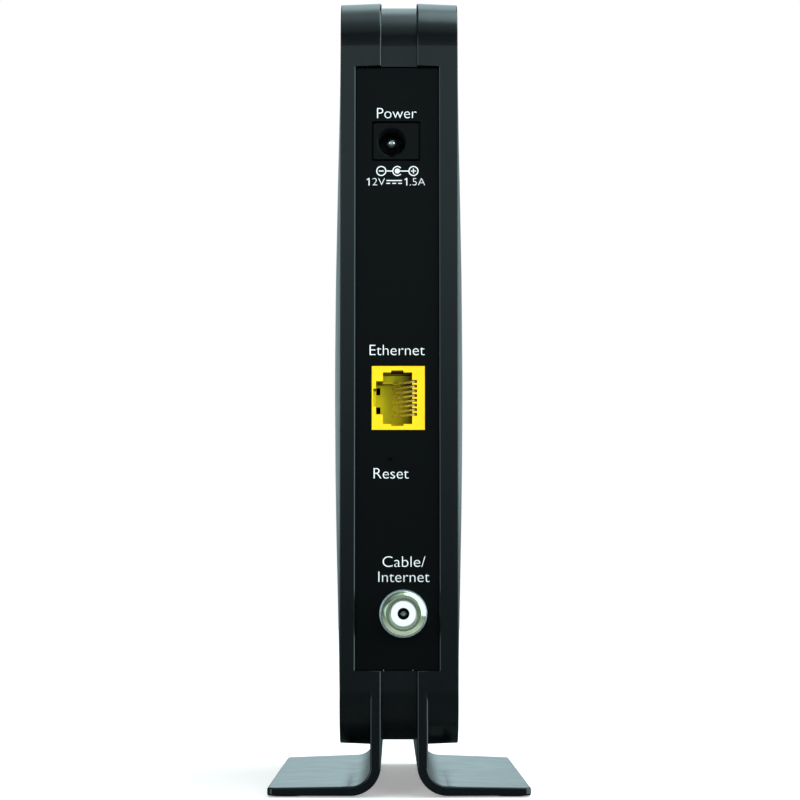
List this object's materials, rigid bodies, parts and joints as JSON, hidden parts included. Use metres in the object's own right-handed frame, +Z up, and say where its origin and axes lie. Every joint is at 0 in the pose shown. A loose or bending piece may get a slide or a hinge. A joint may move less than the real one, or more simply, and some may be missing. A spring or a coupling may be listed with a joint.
{
  "type": "cable modem",
  "caption": "Slim upright cable modem: two domed side shells, each moulded with a bent foot, on a recessed centre band with a rear panel of power, network, reset and coaxial ports.",
  "frame": {"origin": "on the surface it stands on, under the middle of the object's overall box", "axes": "+Z up; the ports and their plugs leave towards -Y; the status lights face +Y; +X is to the right when looking at the ports"},
  "size_m": [0.0564, 0.1306, 0.174],
  "materials": {
    "shell_black": "satin",
    "band_black": "satin",
    "panel_black": "matte",
    "lens_smoked": "polished, dark tint",
    "guide_clear": "polished, clear",
    "pad_rubber": "matte",
    "screw_steel": "plated",
    "board_green": "solder mask",
    "jack_yellow": "moulded",
    "contact_gold": "gold plated",
    "inlet_black": "moulded",
    "pin_nickel": "nickel plated",
    "barrel_nickel": "nickel plated",
    "insulator_white": "moulded",
    "switch_black": "moulded",
    "plunger_white": "moulded",
    "chip_black": "moulded",
    "thermal_grey": "soft",
    "sink_aluminium": "extruded",
    "push_pin_brass": "turned",
    "shield_tin": "tin plated",
    "can_aluminium": "drawn",
    "ferrite_grey": "pressed",
    "light_white": "diffuse",
    "ceramic_tan": "fired"
  },
  "bodies": {
    "root": {"left_shell": "shell_black", "right_shell": "shell_black", "centre_band": "band_black", "rear_panel": "panel_black", "front_lens": "lens_smoked", "light_guide": "guide_clear", "left_foot_pads": "pad_rubber", "right_foot_pads": "pad_rubber", "main_board": "board_green", "board_screws": "screw_steel", "ethernet_jack": "jack_yellow", "ethernet_insert": "jack_yellow", "ethernet_contacts": "contact_gold", "dc_jack_housing": "inlet_black", "dc_jack_pin": "pin_nickel", "dc_jack_spring": "pin_nickel", "coax_barrel": "barrel_nickel", "coax_block": "barrel_nickel", "coax_insulator": "insulator_white", "coax_contact": "contact_gold", "reset_switch_body": "switch_black", "reset_dome": "screw_steel", "soc_chip": "chip_black", "thermal_pad": "thermal_grey", "heat_sink": "sink_aluminium", "heat_sink_pins": "push_pin_brass", "memory_chip": "chip_black", "flash_chip": "chip_black", "ethernet_transformer": "chip_black", "tuner_shield_frame": "shield_tin", "tuner_shield_lid": "shield_tin", "tuner_chip": "chip_black", "crystal": "shield_tin", "capacitors": "can_aluminium", "inductors": "ferrite_grey", "status_leds": "light_white", "small_passives": "ceramic_tan"},
    "reset_button": {"reset_plunger": "plunger_white"}
  },
  "joints": [
    {"name": "reset_press", "type": "slide", "parent": "root", "child": "reset_button", "axis": [0, 1, 0], "range_m": [0, 0.0003], "stiffness_N_per_m": 5000, "springref_m": -0.0002}
  ]
}
